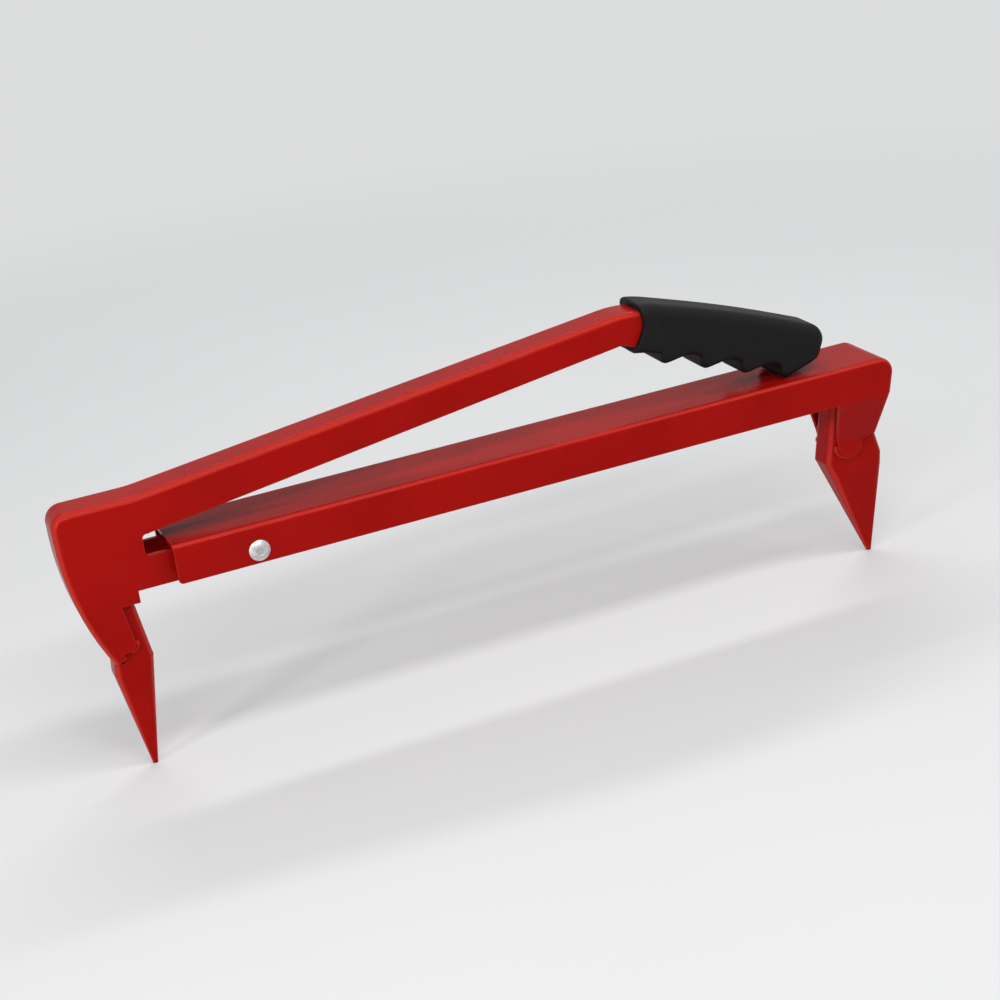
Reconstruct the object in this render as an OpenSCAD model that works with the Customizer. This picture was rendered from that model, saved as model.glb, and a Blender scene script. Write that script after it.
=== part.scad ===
// Brick tongs: a pressed steel bar with a fixed claw at one end, and a lever with the
// second claw and the hand grip. The lever hooks round the open end of the bar, turns on
// one rivet between the bar's flanges and rests with its grip on the top of the bar.
// X runs along the bar, Y across it, Z is up. The origin is on the ground between the
// claw tips, in the middle of the length. The lever is drawn at rest.

/* [Overall] */
// Length from the back of the lever to the corner of the bar
overall_l = 442; // [432:1:452]
// Height of the bar's lower edge above the claw tips
claw_drop = 96; // [92:1:102]
// Distance from the back of the lever to the rivet
pivot_back = 91; // [90:0.5:92]
// Height of the rivet above the bar's lower edge
pivot_rise = 6.6; // [6.4:0.1:7]

/* [Bar] */
// Width of the bar across its top
bar_w = 40; // [38:1:44]
// Depth of the bar's flanges
bar_h = 19.5; // [19:0.25:20]
// Sheet thickness of the bar
bar_t = 2.5; // [2.2:0.1:2.8]
// Outer radius of the folds along the bar
bar_fold_r = 3; // [3:0.25:4]
// Outer radius where the bar turns down into its claw
bar_corner_r = 8; // [7:0.5:10]
// Distance from the bar's open end to the rivet
bar_open_end = 40; // [38:0.5:41]
// Lean of the bar's back face from upright, in degrees
bar_back_lean = 11; // [9:0.5:12]

/* [Lever] */
// Width of the lever across its top
lever_w = 22; // [21:0.5:24]
// Depth of the lever's flanges along the arm
lever_h = 19; // [18:0.5:19.5]
// Sheet thickness of the lever
lever_t = 2.5; // [2.2:0.1:2.8]
// Outer radius of the folds along the lever
lever_fold_r = 4.5; // [4:0.25:5]
// Height of the lever's flat top above the bar's lower edge
lever_top = 44.2; // [44:0.1:45]
// Slope of the lever's arm in degrees
arm_slope = 6.7; // [6.6:0.1:6.8]
// Slope of the grip below level in degrees
grip_slope = 19.5; // [19.3:0.1:19.7]

/* [Claws] */
// Width of the fixed claw across its shoulders
bar_claw_w = 34.5; // [33:0.5:37]
// Width of the lever's claw across its shoulders
lever_claw_w = 20; // [19:0.5:21]
// Depth of both claws' shoulders below the bar's lower edge
shoulder_drop = 37; // [36:0.5:39]
// Edge radius of both claws
claw_edge_r = 4.5; // [3:0.5:6]

/* [Rivet and spacers] */
// Diameter of the rivet's shank
rivet_d = 6; // [5.6:0.1:6.4]
// Diameter of the rivet's two heads
rivet_head_d = 10.5; // [9.5:0.5:11]
// Height of the rivet's heads
rivet_head_h = 2.4; // [2:0.2:3]
// Radial play of the lever on the rivet
pivot_play = 0.05; // [0.03:0.01:0.1]
// Outer diameter of the spacers on the rivet
spacer_d = 12; // [10:0.5:12.5]

/* [Grip] */
// Length of the grip
grip_l = 112.5; // [111:0.5:114]
// Width of the grip
grip_w = 28; // [27:0.5:30]
// Thickness of the grip over the top of the steel
grip_cover = 3.8; // [3:0.2:4]
// Thickness of the grip under the steel at the finger hollows
grip_floor = 3; // [2.5:0.25:3]
// Distance from one finger ridge to the next
finger_pitch = 23.7; // [23.4:0.1:24]

/* [Hidden] */

steel_red = [0.72, 0.05, 0.07];
grip_black = [0.06, 0.06, 0.065];
zinc = [0.72, 0.70, 0.69];

// Faces that only meet are kept this far apart, and cutters run this far past a face
gap = 0.3;
cut = 1;

// Side view places. Heights are from the bar's lower edge
back_x = -overall_l / 2;
front_x = overall_l / 2;
pivot_x = back_x + pivot_back;
bar_start = pivot_x - bar_open_end;
bar_corner_x = front_x - bar_corner_r;
bar_back_top = [
    bar_corner_x + bar_corner_r * cos(bar_back_lean),
    bar_h - bar_corner_r - bar_corner_r * sin(bar_back_lean)];

// The bar narrows from its full width down to its claw
neck_end = -24;
tab_end = -33;
tab_r = 7;
tab_x = front_x - 24;
tab_c = [tab_x, tab_end + tab_r];
shank_open_x = front_x - 34;
neck_foot = 4;
// The neck is drawn this much longer than its tongue, then cut to the tongue's outline
neck_spare = 6;
claw_t = lever_w - 2 * lever_t;
neck_w = claw_t + 2 * bar_t;

// The lever's corner, the notch that takes the bar's open end, and the leg to the rivet
corner_r = 8;
back_bend_r = 148;
back_bend_z = 30;
back_bend_a = 26.5;
back_bend_x = back_x + back_bend_r;
notch_x = pivot_x - 51.3;
notch_l = 12;
notch_r = 2;
ear_r = 8;
leg_top = pivot_rise + ear_r;
leg_bottom = pivot_rise - ear_r;
step_x = back_x + 33;
step_z = -7.4;
tongue_x = back_x + 24;
tongue_end = -31;
tongue_r = 5;
tongue_taper = 3;
tongue_c = [tongue_x + tongue_taper - tongue_r, tongue_end + tongue_r];

// The lever bends up to its arm, then down to its grip
arm_reach = 211;
bend_r = 60;
up_bend_x = notch_x;
up_tangent = bend_r * tan(arm_slope / 2);
down_turn = arm_slope + grip_slope;
down_tangent = bend_r * tan(down_turn / 2);
bend_x = pivot_x + arm_reach;
bend_z = lever_top + (bend_x - up_bend_x) * tan(arm_slope);
arm_l = (bend_x - up_bend_x) / cos(arm_slope);
tang_l = grip_l - 20;
// Inside the grip the flanges are cut down from here on
tang_step = 18;
tang_h = 16.5;

// Claw heights and places
claw_bevel = -shoulder_drop - 7;
bar_root_top = 4;
lever_root_top = 2;
// Degrees round the lever's back to the top of its claw's root
lever_root_a = 11;
claw_tip_w = 2.4;
// How far a claw draws in above and below its shoulders
shoulder_draw = 0.6;
root_draw = 3.5;
// Sideways lean of the claws' roots for each millimetre of height
bar_root_lean = 0.16;
lever_root_lean = 0.155;
weld_leg = 2;
// Where the fillet welds start and end round each tongue, in degrees
bar_weld = [180, 350];
lever_weld = [287, 362];
bar_tip_x = front_x - 9.6;
bar_shoulder_x = front_x - 2;
lever_tip_x = back_x + 25.9;
lever_shoulder_x = back_x + 15;

// Finger ridges, low enough for the last one to rest on the bar
ridge_r = 3;
ridge_count = 4;
ridge_tail = 12;
// Angles at which the slopes leave a ridge's round foot
tail_a = 60;
heel_a = 50;
first_ridge = 21.5;
last_ridge = first_ridge + (ridge_count - 1) * finger_pitch;
ridge_n = (bar_h + gap + ridge_r - bend_z + last_ridge * sin(grip_slope)) / cos(grip_slope);
hollow_n = -tang_h - grip_floor;
collar_n = -lever_h - grip_floor + 1;
nose_r = 9.5;
heel_n = 13;
heel_in = 2;
hollow_r = 3;
grip_edge_r = 7;
grip_low_r = 4;
plan_r = 8;
// The grip's open end in side view: its straight upper part, then two slanting parts,
// from the bend's corner
mouth_top = [1.7, -9];
mouth_mid = [-4.5, -20.5];
mouth_low = [-8, -30];
// Room round the steel inside the grip
grip_fit = 0.05;
// The grip is drawn from this many degrees past the start of the bend, then trimmed
collar_a = 2;

// Each run of folded web carries this much of its flanges
rail_lip = 2;

// A bend laps over the runs beside it by this length, and is this much fuller than they are,
// so that the pieces of one sheet join cleanly. A level slice is as thick as its skin
lap = 0.3;
fuller = 0.02;
skin = 0.02;

// A point on the lever's arm: s along its top from the first bend, n out from its top
function arm(s, n) = [
    up_bend_x + s * cos(arm_slope) - n * sin(arm_slope),
    lever_top + s * sin(arm_slope) + n * cos(arm_slope)];

// A point on the grip's part of the lever: s from the second bend, n out from its top
function tang(s, n) = [
    bend_x + s * cos(grip_slope) + n * sin(grip_slope),
    bend_z - s * sin(grip_slope) + n * cos(grip_slope)];

// A point by the lever's curved back: a degrees round, and inside the face by depth
function back(a, depth) = [
    back_bend_x - (back_bend_r - depth) * cos(a),
    back_bend_z - (back_bend_r - depth) * sin(a)];

// Outer face of the bar's back, and the width of its neck, at height z
function bar_back(z) = bar_back_top[0] - (bar_back_top[1] - z) * tan(bar_back_lean);
function neck_width(z) = bar_w + (neck_w - bar_w) * z / neck_end;

// Moves a side view drawing, X and Z, into place across Y from y0 to y1
module across(y0, y1) {
    translate([0, y1, claw_drop])
        rotate([90, 0, 0])
            linear_extrude(y1 - y0)
                children();
}

// Draws the same flange on both sides of a channel of width w and sheet t
module both_flanges(w, t) {
    across(-w / 2, -w / 2 + t) children();
    across(w / 2 - t, w / 2) children();
}

// Turns a child from the rivet's axis, drawn along Z, to lie along Y at the rivet
module at_rivet() {
    translate([pivot_x, 0, claw_drop + pivot_rise])
        rotate([90, 0, 0])
            children();
}

// Section of a folded channel: X is outward from the web's outer face, Y is across
module rail_section(w, t, r) {
    difference() {
        solid_section(w, r + rail_lip, r);
        translate([-r - rail_lip - cut, -w / 2 + r])
            square([r + rail_lip + cut - t, w - 2 * r]);
        translate([-r - rail_lip - cut, -w / 2 + t])
            square([rail_lip + cut, w - 2 * t]);
        for (side = [-1, 1])
            translate([-r, side * (w / 2 - r)])
                circle(r - t, $fn = 64);
    }
}

// The same section filled in, to a depth d
module solid_section(w, d, r) {
    intersection() {
        union() {
            translate([-r, -w / 2 + r])
                square([r, w - 2 * r]);
            translate([-d, -w / 2])
                square([d - r, w]);
            for (side = [-1, 1])
                translate([-r, side * (w / 2 - r)])
                    circle(r, $fn = 64);
        }
        translate([-d, -w / 2])
            square([d, w]);
    }
}

// Straight run of a section from the side view point p, heading up from +X by angle a
module run(p, a, l) {
    translate([p[0], 0, claw_drop + p[1]])
        rotate([0, -a, 0])
            rotate([90, 0, 90])
                linear_extrude(l)
                    rotate(90)
                        children();
}

// Curved run of a section about the side view point c, from angle a0 to a1
module turn(c, radius, a0, a1) {
    translate([c[0], 0, claw_drop + c[1]])
        rotate([90, 0, 0])
            rotate([0, 0, a0])
                rotate_extrude(angle = a1 - a0, $fn = 180)
                    translate([radius, 0])
                        children();
}

// The angle that a lap takes at a radius
function lap_a(radius) = 180 / PI * lap / radius;

// Bend of a folded channel about the side view point c, with its web on the outside
module bend(c, radius, a0, a1, w, t, r) {
    turn(c, radius, a0 - lap_a(radius), a1 + lap_a(radius))
        translate([fuller, 0])
            rail_section(w + 2 * fuller, t + 2 * fuller, r + fuller);
}

// Level slice of a claw or neck, from x0 to x1 and w across, with rounded corners
module slice(z, x0, x1, w, r) {
    translate([0, 0, claw_drop + z])
        linear_extrude(skin)
            for (x = [x0 + r, x1 - r], y = [r - w / 2, w / 2 - r])
                translate([x, y])
                    circle(r, $fn = 32);
}

// Flange of the bar in side view, kept inside the folds
module bar_flange() {
    inset = bar_fold_r + 1;
    end_r = 2;
    difference() {
        polygon([
            [bar_start, 0],
            [bar_back(0) - inset, 0],
            [bar_back_top[0] - inset, bar_back_top[1]],
            [bar_corner_x + (bar_corner_r - inset) * cos(45),
                bar_h - bar_corner_r + (bar_corner_r - inset) * sin(45)],
            [bar_corner_x, bar_h - inset],
            [bar_start, bar_h - inset]]);
        translate([pivot_x, pivot_rise])
            circle(d = rivet_d, $fn = 96);
        // Rounded lower corner at the open end
        difference() {
            translate([bar_start - cut, -cut])
                square(cut + end_r);
            translate([bar_start + end_r, end_r])
                circle(end_r, $fn = 48);
        }
    }
}

// Neck under the bar's corner, drawn solid, inside the outer face by inset
module bar_neck(inset, over) {
    r = max(bar_fold_r - inset, 0.5);
    hull()
        for (z = [over, neck_end - over])
            slice(z, shank_open_x - neck_spare - inset * 2, bar_back(z) - inset,
                neck_width(z) - 2 * inset, r);
}

// Side view outline of what the neck keeps: its back, and a round ended tongue
module bar_tongue() {
    polygon([
        [shank_open_x, cut],
        [bar_back(0) + cut, cut],
        [bar_back(neck_end) + cut, neck_end],
        [bar_back(neck_end) - neck_foot, neck_end],
        [tab_x + tab_r, tab_end + tab_r],
        [tab_x - tab_r, tab_end + tab_r],
        [shank_open_x, 0]]);
    translate(tab_c)
        circle(tab_r, $fn = 64);
}

module bar() {
    color(steel_red) {
        both_flanges(bar_w, bar_t)
            bar_flange();
        run([bar_start, bar_h], 0, bar_corner_x - bar_start)
            rail_section(bar_w, bar_t, bar_fold_r);
        bend([bar_corner_x, bar_h - bar_corner_r], bar_corner_r, -bar_back_lean, 90,
            bar_w, bar_t, bar_fold_r);
        // Back face down to the neck
        intersection() {
            run(bar_back_top, -90 - bar_back_lean, bar_h)
                rail_section(bar_w, bar_t, bar_fold_r);
            across(-bar_w, bar_w)
                translate([shank_open_x, 0])
                    square(bar_h * 2);
        }
        intersection() {
            difference() {
                bar_neck(0, 0);
                bar_neck(bar_t, cut);
            }
            across(-bar_w, bar_w)
                bar_tongue();
        }
        // Flat tabs that lie on the claw
        both_flanges(neck_w, bar_t)
            intersection() {
                bar_tongue();
                translate([tab_x - bar_w, neck_end - bar_h])
                    square([bar_w * 2, bar_h]);
            }
    }
}

// The two claws are forged blocks with rounded edges, bevelled to a point
module claw_point(x0, x1, tip_x) {
    hull() {
        slice(claw_bevel, x0, x1, claw_t, claw_edge_r);
        slice(-claw_drop, tip_x - claw_tip_w / 2, tip_x + claw_tip_w / 2, claw_tip_w,
            claw_tip_w / 3);
    }
}

module bar_claw() {
    seat = bar_t / cos(bar_back_lean) + gap;
    top = bar_root_top;
    inner = bar_shoulder_x - bar_claw_w;
    lean = bar_root_lean;
    shoulder = -shoulder_drop;
    bevel_in = inner + (claw_bevel - shoulder) / (-claw_drop - shoulder) * (bar_tip_x - inner);
    color(steel_red) {
        // Root between the neck's flanges
        hull() {
            slice(top, inner + (top + shoulder_drop) * lean, bar_back(top) - seat,
                claw_t, claw_edge_r);
            slice(neck_end - 2 * gap, inner + (neck_end + shoulder_drop) * lean,
                bar_back(neck_end) - seat, claw_t, claw_edge_r);
        }
        hull() {
            slice(neck_end - 2 * gap, inner + (neck_end + shoulder_drop) * lean,
                bar_shoulder_x - root_draw, claw_t, claw_edge_r);
            slice(shoulder, inner, bar_shoulder_x, claw_t, claw_edge_r);
        }
        hull() {
            slice(shoulder, inner, bar_shoulder_x, claw_t, claw_edge_r);
            slice(claw_bevel, bevel_in, bar_shoulder_x - shoulder_draw, claw_t, claw_edge_r);
        }
        claw_point(bevel_in, bar_shoulder_x - shoulder_draw, bar_tip_x);
    }
}

// Flange of the lever in side view, kept inside the folds
module lever_flange() {
    inset = lever_fold_r + 1;
    r = bend_r - inset;
    mid = 90 + (arm_slope - grip_slope) / 2;
    bend_c = arm(arm_l - down_tangent, -bend_r);
    difference() {
        union() {
            // Knee and tongue
            polygon([
                [back_x + corner_r, lever_top - inset],
                [notch_x + up_tangent, lever_top - inset],
                [notch_x + up_tangent, leg_bottom],
                [step_x, leg_bottom],
                [step_x, step_z],
                [tongue_x, step_z],
                [tongue_x + tongue_taper, tongue_end + tongue_r],
                back(23.5, inset),
                back(16, inset),
                back(8, inset),
                back(0, inset),
                [back_x + inset, lever_top - corner_r],
                [back_x + corner_r - (corner_r - inset) * cos(45),
                    lever_top - corner_r + (corner_r - inset) * sin(45)]]);
            translate(tongue_c)
                circle(tongue_r, $fn = 64);
            // Leg and ear
            translate([notch_x, leg_bottom])
                square([pivot_x - notch_x, leg_top - leg_bottom]);
            translate([pivot_x, pivot_rise])
                circle(ear_r, $fn = 96);
            // Arm, second bend and tang
            polygon([
                arm(0, -inset),
                arm(arm_l - down_tangent, -inset),
                bend_c + r * [cos(mid), sin(mid)],
                tang(down_tangent, -inset),
                tang(tang_l, -inset),
                tang(tang_l, -tang_h),
                tang(tang_step, -tang_h),
                tang(tang_step, -lever_h),
                tang(-lever_h * tan(down_turn / 2), -lever_h),
                arm(0, -lever_h)]);
        }
        lever_notch();
        translate([pivot_x, pivot_rise])
            circle(d = rivet_d + 2 * pivot_play, $fn = 96);
    }
}

// Space between the knee, the leg and the underside of the arm
module lever_notch() {
    roof = arm(0, -lever_h)[1];
    polygon([
        [notch_x, leg_top + notch_r],
        [notch_x + notch_r, leg_top],
        [notch_x + notch_l, leg_top],
        [notch_x + notch_l, roof],
        [notch_x + notch_r, roof],
        [notch_x, roof - notch_r]]);
    for (z = [leg_top + notch_r, roof - notch_r])
        translate([notch_x + notch_r, z])
            circle(notch_r, $fn = 48);
}

module lever() {
    color(steel_red) {
        both_flanges(lever_w, lever_t)
            lever_flange();
        bend([back_bend_x, back_bend_z], back_bend_r, 180, 180 + back_bend_a,
            lever_w, lever_t, lever_fold_r);
        run([back_x, back_bend_z], 90, lever_top - corner_r - back_bend_z)
            rail_section(lever_w, lever_t, lever_fold_r);
        bend([back_x + corner_r, lever_top - corner_r], corner_r, 90, 180,
            lever_w, lever_t, lever_fold_r);
        run([back_x + corner_r, lever_top], 0, up_bend_x - up_tangent - back_x - corner_r)
            rail_section(lever_w, lever_t, lever_fold_r);
        // This bend has its web on the inside
        turn([up_bend_x - up_tangent, lever_top + bend_r], bend_r, -90 - lap_a(bend_r),
            -90 + arm_slope + lap_a(bend_r))
            mirror([1, 0])
                translate([fuller, 0])
                    rail_section(lever_w + 2 * fuller, lever_t + 2 * fuller,
                        lever_fold_r + fuller);
        run(arm(up_tangent, 0), arm_slope, arm_l - up_tangent - down_tangent)
            rail_section(lever_w, lever_t, lever_fold_r);
        bend(arm(arm_l - down_tangent, -bend_r), bend_r, 90 - grip_slope, 90 + arm_slope,
            lever_w, lever_t, lever_fold_r);
        run(tang(down_tangent, 0), -grip_slope, tang_l - down_tangent)
            rail_section(lever_w, lever_t, lever_fold_r);
    }
}

module lever_claw() {
    top = lever_root_top;
    bottom = back(back_bend_a, 0)[1];
    shoulder = -shoulder_drop;
    seat = lever_t + 3 * gap;
    inner = lever_shoulder_x + lever_claw_w;
    lean = lever_root_lean;
    drop = (claw_bevel - shoulder) / (-claw_drop - shoulder);
    color(steel_red) {
        // Root between the lever's flanges
        hull() {
            slice(top, back(lever_root_a, seat)[0], inner - (top + shoulder_drop) * lean, claw_t,
                claw_edge_r);
            slice(bottom - 2 * gap, back(back_bend_a, seat)[0],
                inner - (bottom + shoulder_drop) * lean, claw_t, claw_edge_r);
        }
        hull() {
            slice(bottom - 2 * gap, lever_shoulder_x + shoulder_draw, inner, claw_t, claw_edge_r);
            slice(claw_bevel, lever_shoulder_x, inner + drop * (lever_tip_x - inner), claw_t,
                claw_edge_r);
        }
        claw_point(lever_shoulder_x, inner + drop * (lever_tip_x - inner), lever_tip_x);
    }
}

// Fillet weld round the end of a tongue of radius r that lies on the claw at height y
module tongue_weld(c, r, a0, a1) {
    for (side = [0, 1])
        mirror([0, side, 0])
            translate([0, -claw_t / 2, 0])
                turn(c, r, a0, a1)
                    polygon([[0, 0], [weld_leg, 0], [0, weld_leg]]);
}

module bar_claw_welds() {
    color(steel_red)
        tongue_weld(tab_c, tab_r, bar_weld[0], bar_weld[1]);
}

module lever_claw_welds() {
    color(steel_red)
        tongue_weld(tongue_c, tongue_r, lever_weld[0], lever_weld[1]);
}

module pivot_rivet() {
    rim = 0.6;
    dome = rivet_head_h - rim;
    dome_r = (rivet_head_d * rivet_head_d / 4 + dome * dome) / (2 * dome);
    color(zinc)
        at_rivet() {
            cylinder(d = rivet_d, h = bar_w, center = true, $fn = 96);
            for (side = [0, 1])
                mirror([0, 0, side])
                    translate([0, 0, bar_w / 2])
                        rotate_extrude($fn = 96)
                            intersection() {
                                translate([0, rivet_head_h - dome_r])
                                    circle(dome_r, $fn = 180);
                                square([rivet_head_d / 2, rivet_head_h]);
                            }
        }
}

// Ring on the rivet from z0 to z1, with Z running towards the front
module ring(z0, z1, outer, inner) {
    at_rivet()
        translate([0, 0, z0])
            difference() {
                cylinder(d = outer, h = z1 - z0, $fn = 96);
                translate([0, 0, -cut])
                    cylinder(d = inner, h = z1 - z0 + 2 * cut, $fn = 96);
            }
}

module spacer_front() {
    color(zinc)
        ring(lever_w / 2 + gap, bar_w / 2 - bar_t, spacer_d, rivet_d);
}

module spacer_rear() {
    color(zinc)
        ring(bar_t - bar_w / 2, -lever_w / 2 - gap, spacer_d, rivet_d);
}

module centre_tube() {
    color(zinc)
        ring(-claw_t / 2, claw_t / 2, spacer_d - 1, rivet_d + 2 * pivot_play);
}

// Side view outline of the grip's straight part with its finger ridges
module grip_outline() {
    start = down_tangent - cut;
    foot = first_ridge - ridge_r;
    low = ridge_r * sin(heel_a);
    difference() {
        polygon([
            tang(start, grip_cover),
            tang(grip_l - nose_r, grip_cover),
            tang(grip_l, grip_cover - nose_r),
            tang(grip_l - heel_in, -heel_n),
            tang(last_ridge + ridge_r * cos(heel_a), ridge_n - low),
            tang(last_ridge, hollow_n),
            tang(foot, hollow_n),
            tang(foot, collar_n),
            tang(start, collar_n)]);
        // Rounded nose
        translate(tang(grip_l - nose_r, grip_cover - nose_r))
            rotate(-grip_slope)
                difference() {
                    square(nose_r + cut);
                    circle(nose_r, $fn = 96);
                }
    }
    for (k = [0 : ridge_count - 1])
        finger_ridge(first_ridge + k * finger_pitch, k < ridge_count - 1 ? ridge_tail : ridge_r);
}

// One ridge, steep towards the lever's arm and easy towards the end
module finger_ridge(s, tail) {
    translate(tang(s, ridge_n))
        circle(ridge_r, $fn = 48);
    polygon([
        tang(s - ridge_r, ridge_n),
        tang(s - ridge_r, hollow_n + cut),
        tang(s + tail, hollow_n + cut),
        tang(s + tail, hollow_n),
        tang(s + ridge_r * cos(tail_a), ridge_n - ridge_r * sin(tail_a))]);
    // Rounded corner where the steep side starts
    translate(tang(s - ridge_r - hollow_r, hollow_n - hollow_r))
        rotate(-grip_slope)
            difference() {
                square([hollow_r + cut, hollow_r + cut]);
                circle(hollow_r, $fn = 48);
                translate([-cut, -cut])
                    square([hollow_r + cut, cut]);
            }
}

// Side view of what is trimmed from the open end of the grip
module grip_mouth() {
    corner = [bend_x, bend_z];
    polygon([
        corner + [mouth_top[0], grip_w],
        corner + mouth_top,
        corner + mouth_mid,
        corner + mouth_low,
        corner + [-bend_r, mouth_low[1]],
        corner + [-bend_r, grip_w]]);
}

// Section of the grip from its top to a depth, rounded at all four edges
module grip_section(w, depth) {
    bottom = grip_cover - depth;
    side = w / 2 - grip_low_r;
    intersection() {
        translate([grip_cover, 0])
            solid_section(w, depth, grip_edge_r);
        union() {
            translate([bottom + grip_low_r, -w / 2])
                square([depth, w]);
            translate([bottom, -side])
                square([depth, 2 * side]);
            for (y = [-side, side])
                translate([bottom + grip_low_r, y])
                    circle(grip_low_r, $fn = 64);
        }
    }
}

// Section of the space in the grip for the lever's steel, larger than it by fit all round
module steel_space(depth, fit) {
    translate([fit, 0])
        solid_section(lever_w + 2 * fit, depth + 2 * fit, lever_fold_r + fit);
}

// The grip's straight part seen from above, with a rounded end
module grip_plan() {
    side = grip_w / 2 - plan_r;
    rotate([0, grip_slope, 0])
        translate([0, 0, -grip_w * 2])
            linear_extrude(grip_w * 4) {
                translate([-grip_w, -grip_w / 2])
                    square([grip_l + grip_w - plan_r, grip_w]);
                translate([0, -side])
                    square([grip_l, 2 * side]);
                for (y = [-side, side])
                    translate([grip_l - plan_r, y])
                        circle(plan_r, $fn = 64);
            }
}

module grip() {
    c = arm(arm_l - down_tangent, -bend_r);
    collar_depth = grip_cover - collar_n;
    color(grip_black)
        difference() {
            union() {
                intersection() {
                    across(-grip_w, grip_w)
                        grip_outline();
                    run(tang(down_tangent, 0), -grip_slope, grip_l)
                        grip_section(grip_w, grip_cover - ridge_n + ridge_r);
                    translate([bend_x, 0, claw_drop + bend_z])
                        grip_plan();
                }
                difference() {
                    turn(c, bend_r, 90 - grip_slope - lap_a(bend_r), 90 + arm_slope - collar_a)
                        translate([fuller, 0])
                            grip_section(grip_w + 2 * fuller, collar_depth + 2 * fuller);
                    across(-grip_w, grip_w)
                        grip_mouth();
                }
            }
            turn(c, bend_r, 90 - grip_slope - 2 * lap_a(bend_r), 90 + arm_slope)
                steel_space(lever_h, 4 * fuller);
            run(tang(down_tangent, 0), -grip_slope, tang_step - down_tangent + grip_fit)
                steel_space(lever_h, grip_fit);
            run(tang(down_tangent, 0), -grip_slope, tang_l - down_tangent + grip_fit)
                steel_space(tang_h, grip_fit);
        }
}

bar();
bar_claw();
bar_claw_welds();
lever();
lever_claw();
lever_claw_welds();
pivot_rivet();
spacer_front();
spacer_rear();
centre_tube();
grip();
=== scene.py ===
"""Finishes, moulded pieces and studio for a pair of brick tongs, laid out as a Blender add-on."""

import math

import bmesh
import bpy
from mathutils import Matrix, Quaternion, Vector


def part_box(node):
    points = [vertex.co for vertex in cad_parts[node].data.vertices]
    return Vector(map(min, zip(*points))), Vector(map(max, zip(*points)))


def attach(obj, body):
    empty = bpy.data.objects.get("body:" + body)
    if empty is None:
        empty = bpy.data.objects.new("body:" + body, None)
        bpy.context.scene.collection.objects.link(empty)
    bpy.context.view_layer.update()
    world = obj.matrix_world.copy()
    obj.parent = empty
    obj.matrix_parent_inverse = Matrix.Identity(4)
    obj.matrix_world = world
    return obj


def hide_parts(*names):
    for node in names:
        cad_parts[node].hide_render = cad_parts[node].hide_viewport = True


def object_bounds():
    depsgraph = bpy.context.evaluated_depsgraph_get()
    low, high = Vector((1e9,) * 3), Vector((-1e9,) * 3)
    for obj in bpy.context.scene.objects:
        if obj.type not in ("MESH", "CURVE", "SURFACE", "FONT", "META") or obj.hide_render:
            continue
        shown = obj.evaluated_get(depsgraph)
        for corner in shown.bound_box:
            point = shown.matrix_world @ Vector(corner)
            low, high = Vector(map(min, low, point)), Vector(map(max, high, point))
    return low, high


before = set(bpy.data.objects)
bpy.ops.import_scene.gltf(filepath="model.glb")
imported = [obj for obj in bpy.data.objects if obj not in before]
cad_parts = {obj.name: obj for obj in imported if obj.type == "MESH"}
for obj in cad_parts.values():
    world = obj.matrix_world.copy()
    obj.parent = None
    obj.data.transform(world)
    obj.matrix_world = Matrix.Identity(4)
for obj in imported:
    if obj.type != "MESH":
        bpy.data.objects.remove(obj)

bl_info = {
    "name": "Brick Tongs",
    "version": (1, 0, 0),
    "blender": (4, 5, 0),
    "location": "View3D > Sidebar > Brick Tongs",
    "description": "Enamel, zinc, weld beads and hand grip of brick tongs, and their studio",
    "category": "Object",
}

MM = 0.001
CAD_BOX = [list(corner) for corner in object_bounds()]
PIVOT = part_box("pivot_rivet")
PIVOT_X = (PIVOT[0].x + PIVOT[1].x) / 2
PIVOT_Z = (PIVOT[0].z + PIVOT[1].z) / 2

# Where the lever bends down to its grip, and how the tang slopes from there
BEND_PLACE = (0.081, 0.0, 0.171)
BEND_RADIUS = 60.0 * MM
TANGENT = 13.96 * MM
TANG_SLOPE = math.radians(19.5)

# The grip's underside, in millimetres from that bend and below the steel's top
RIDGES = 4
RIDGE_FIRST = 21.5
RIDGE_RADIUS = 3.0
RIDGE_MIDDLE = -22.6
HOLLOW = -19.5
COLLAR = -21.0
HEEL_START = 1.93
HEEL_LOW = -24.9
HEEL_RISE = 11.9
HEEL_END = 110.5

# The tongues' round ends: the node of the beads, its body, centre, radius and start and end angle
TONGUES = (
    ("bar_claw_welds", "bar_body", (0.197, 0.070), 0.007, 182.0, 348.0),
    ("lever_claw_welds", "lever_body", (-0.199, 0.070), 0.005, 289.0, 360.0),
)
CLAW_SIDE = -0.0085


# Sizes and colours


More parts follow.
